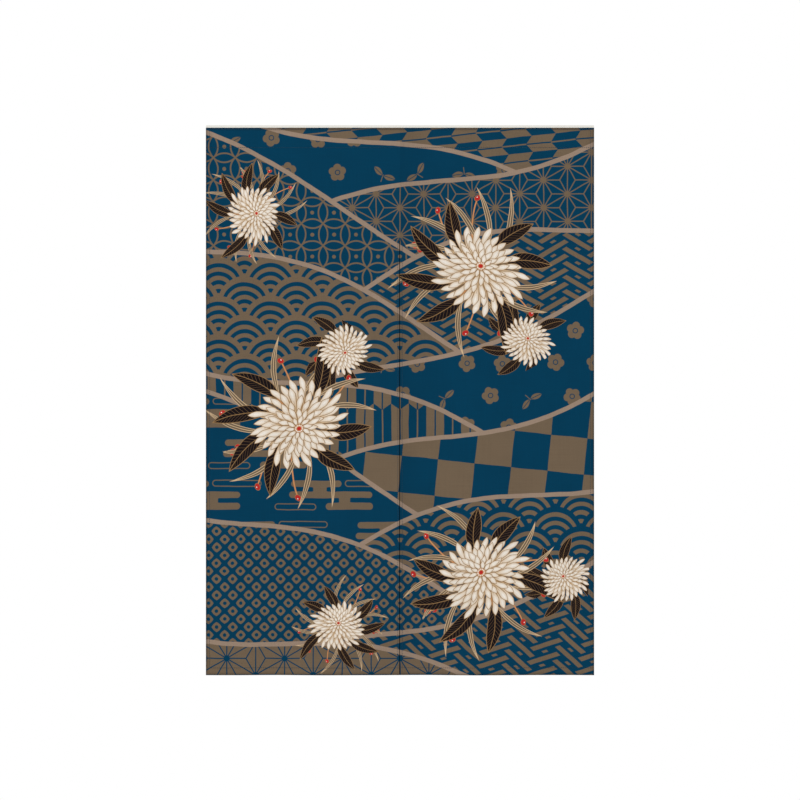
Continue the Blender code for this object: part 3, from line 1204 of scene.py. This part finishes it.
def build_stitches(name, lines, tree, **sizes):
    """Stitches along each line of points, made a plain mesh."""
    points, edges = [], []
    for line in lines:
        start = len(points)
        points += line
        edges += [(k, k + 1) for k in range(start, len(points) - 1)]
    guide_mesh = bpy.data.meshes.new(name + "_guide")
    guide_mesh.from_pydata(points, edges, [])
    guide = object_of(name + "_guide", guide_mesh)
    modifier = guide.modifiers.new("Stitches", "NODES")
    modifier.node_group = tree
    names = {s.name: s.identifier for s in tree.interface.items_tree if s.in_out == "INPUT"}
    for label, value in sizes.items():
        modifier[names[label.replace("_", " ")]] = value
    graph = bpy.context.evaluated_depsgraph_get()
    mesh = bpy.data.meshes.new_from_object(guide.evaluated_get(graph), depsgraph=graph)
    mesh.name = name
    bpy.data.objects.remove(guide)
    return object_of(name, mesh)


def front_line(points):
    """Points on the printed face, from x and z."""
    return [(x, cloth_front(x, z) - THREAD_LIFT, z) for x, z in points]


def back_line(points):
    """Points on the hems' backs, from x and z."""
    return [(x, cloth_front(x, z) + thickness(x, z) + THREAD_LIFT, z) for x, z in points]


def hem_lines():
    """Where hem stitches run, as lists of x and z."""
    sides = stations(-HEADING_SHOWS - SEAM_PITCH, -FOOT_SEAM, SEAM_PITCH)
    lips = stations(-SLIT_START - SEAM_PITCH / 2, -FOOT_SEAM, SEAM_PITCH)
    foot = stations(LIP_SEAM, SIDE_SEAM, SEAM_PITCH)
    lines = [[(sign * SIDE_SEAM, z) for z in sides] for sign in (-1, 1)]
    for sign in (-1, 1):
        lines.append([(sign * LIP_SEAM, z) for z in lips])
        lines.append([(sign * x, -FOOT_SEAM) for x in foot])
    return lines


def build_sewing(blue_thread, white_thread):
    """Every line of stitches, and the bar tack that holds the slit's upper end."""
    blue, white = stitch_tree(blue_thread), stitch_tree(white_thread)
    across = stations(-SIDE_SEAM, SIDE_SEAM, HEADING_PITCH)
    heading = [[(x, -down) for x in across] for down in (TOP_SEAM, SLEEVE_SEAM)]
    tack = []
    for k in range(TACK_ROWS):
        z = -SLIT_START - TACK_BELOW + TACK_PITCH * k
        slant = math.copysign(TACK_PITCH / 4, 0.5 - k % 2)
        tack.append(front_line([(-TACK_HALF, z - slant), (TACK_HALF, z + slant)]))
    sleeve_back = -SLEEVE_RADIUS + 2 * SLEEVE_THICK + 2 * THREAD_LIFT
    sleeve = [[(x, sleeve_back, -SLEEVE_SEAM) for x in across]]
    tack_sizes = {"Stitch_Length": 0.0050, "Stitch_Gap": -0.0024, "Thread_Height": 0.0008}
    pieces = [
        build_stitches("front_stitches", [front_line(p) for p in hem_lines() + heading], blue),
        build_stitches("back_stitches", [back_line(p) for p in hem_lines()], blue),
        build_stitches("slit_bar_tack", tack, blue, **tack_sizes),
        build_stitches("sleeve_stitches", sleeve, white),
    ]
    return {piece.name: piece for piece in pieces}


def build_stage():
    """A round pale floor under the curtain."""
    sides, radius, height = 64, 1.65, -1.74
    turns = [2 * math.pi * n / sides for n in range(sides)]
    rim_points = [(radius * math.cos(turn), radius * math.sin(turn), height) for turn in turns]
    material, tree = material_with_nodes("Pale floor")
    soft = cloudy(object_point(tree, 1.0), 3.0)
    colour = dyed(soft, ink(236, 235, 232), ink(242, 241, 239))
    finish_material(tree, colour, 0.7 + soft * 0.1, soft, bump_distance=0.0002, sheen=0.0)
    floor_disc = mesh_object("floor", rim_points, [range(sides)], [material])


def build_light():
    """An even white surround, and two large soft lamps in front."""
    world = bpy.data.worlds.new("White surround")
    bpy.context.scene.world = world
    world.use_nodes = True
    background = world.node_tree.nodes["Background"]
    background.inputs["Color"].default_value = (1.0, 1.0, 1.0, 1.0)
    background.inputs["Strength"].default_value = 1.0
    lit = Vector((0.0, 0.0, -0.6))
    for name, place, power, size in (
        ("Key", (-1.9, -2.6, 0.5), 14.0, 1.6),
        ("Fill", (2.2, -2.4, -0.8), 5.0, 1.8),
    ):
        light = bpy.data.lights.new(name, "AREA")
        light.energy, light.size = power, size
        lamp = object_of(name, light)
        lamp.location = place
        lamp.rotation_mode = "QUATERNION"
        lamp.rotation_quaternion = (lit - Vector(place)).to_track_quat("-Z", "Y")
    bpy.context.scene.view_settings.view_transform = "Standard"


def build_camera():
    """A long lens square on to the cloth, with the frame as wide as the photo's."""
    frame_width, lens, sensor = 1.7512, 120.0, 36.0
    cloth_y, middle_z = -0.0105, -0.6025
    data = bpy.data.cameras.new("Camera")
    data.lens, data.sensor_width = lens, sensor
    camera = object_of("Camera", data)
    camera.location = (0.0, cloth_y - frame_width * lens / sensor, middle_z)
    camera.rotation_euler = (math.pi / 2, 0.0, 0.0)
    bpy.context.scene.camera = camera


def main():
    shared = {"print": print_group(), "weave": plain_weave_group(), "hems": edge_shade_and_seams_group()}
    face = printed_cotton("Printed cotton", 1.0, shared)
    wrong_side = printed_cotton("Printed cotton wrong side", 0.68, shared)
    cloth = build_cloth([face, wrong_side])
    sleeve = build_sleeve(heading_cotton("Heading cotton", shared))
    sewing = build_sewing(thread("Navy thread", NAVY_THREAD), thread("White thread", WHITE_THREAD))
    for piece in (cloth, sleeve, *sewing.values()):
        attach(piece, "root")
    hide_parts("printed_cloth")
    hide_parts("heading_sleeve")
    build_stage()
    build_light()
    build_camera()


main()
